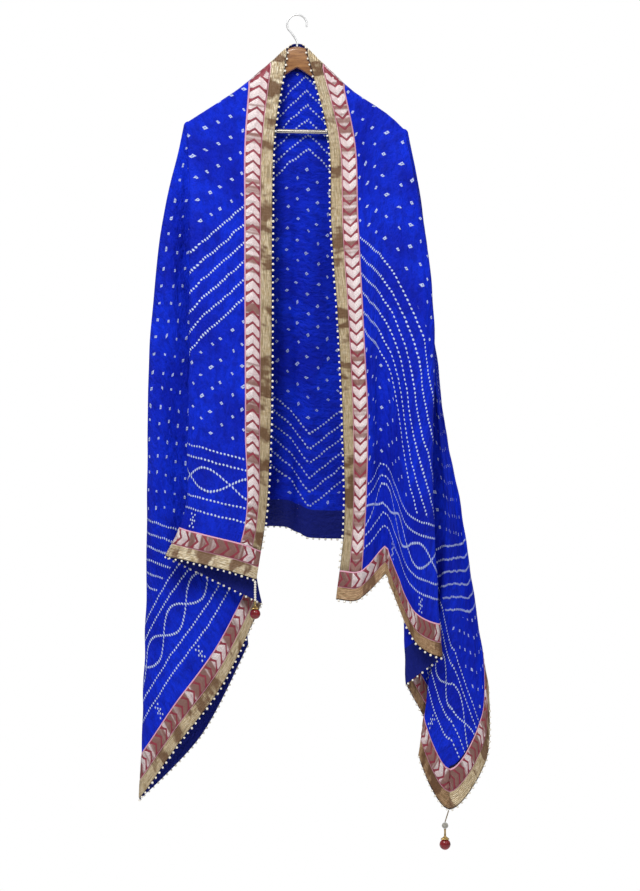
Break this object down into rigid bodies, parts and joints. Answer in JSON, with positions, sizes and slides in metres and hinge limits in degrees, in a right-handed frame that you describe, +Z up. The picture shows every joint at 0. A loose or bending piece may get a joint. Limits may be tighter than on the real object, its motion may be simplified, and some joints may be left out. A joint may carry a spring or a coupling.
{
  "type": "dupatta stole on a hanger",
  "caption": "Tie-dyed silk dupatta stole with gota and gold tissue borders, pearl edging and bead tassels, draped shawl-fashion over a wooden hanger with a wire hook and a trouser bar.",
  "frame": {"origin": "inside top of the hanger's hook, where the rail bears", "axes": "+X to the right of someone facing the front, +Y to the back, +Z up"},
  "size_m": [0.6666, 0.1512, 1.5846],
  "materials": {
    "cloth": "satin silk",
    "gold_tissue": "metallic tissue",
    "gota": "metallic ribbon",
    "wood": "varnished",
    "chrome": "polished",
    "pearl": "pearly",
    "clear_bead": "clear gloss",
    "brass": "polished",
    "red_bead": "gloss"
  },
  "bodies": {
    "root": {"cloth_left": "cloth", "cloth_right": "cloth", "cloth_back": "cloth", "front_gold_left": "gold_tissue", "front_patti_left": "gota", "end_patti_left": "gota", "end_gold_left": "gold_tissue", "front_gold_right": "gold_tissue", "front_patti_right": "gota", "end_patti_right": "gota", "end_gold_right": "gold_tissue", "hem_patti": "gota", "hem_gold": "gold_tissue", "nape_gold": "gold_tissue", "nape_patti": "gota", "hanger_wood": "wood", "trouser_bar": "chrome", "hook": "chrome", "tassel_left_beads": "pearl", "tassel_left_cap": "brass", "tassel_left_bead": "red_bead", "tassel_right_thread": "pearl", "tassel_right_glass": "clear_bead", "tassel_right_cap": "brass", "tassel_right_bead": "red_bead"}
  },
  "joints": []
}
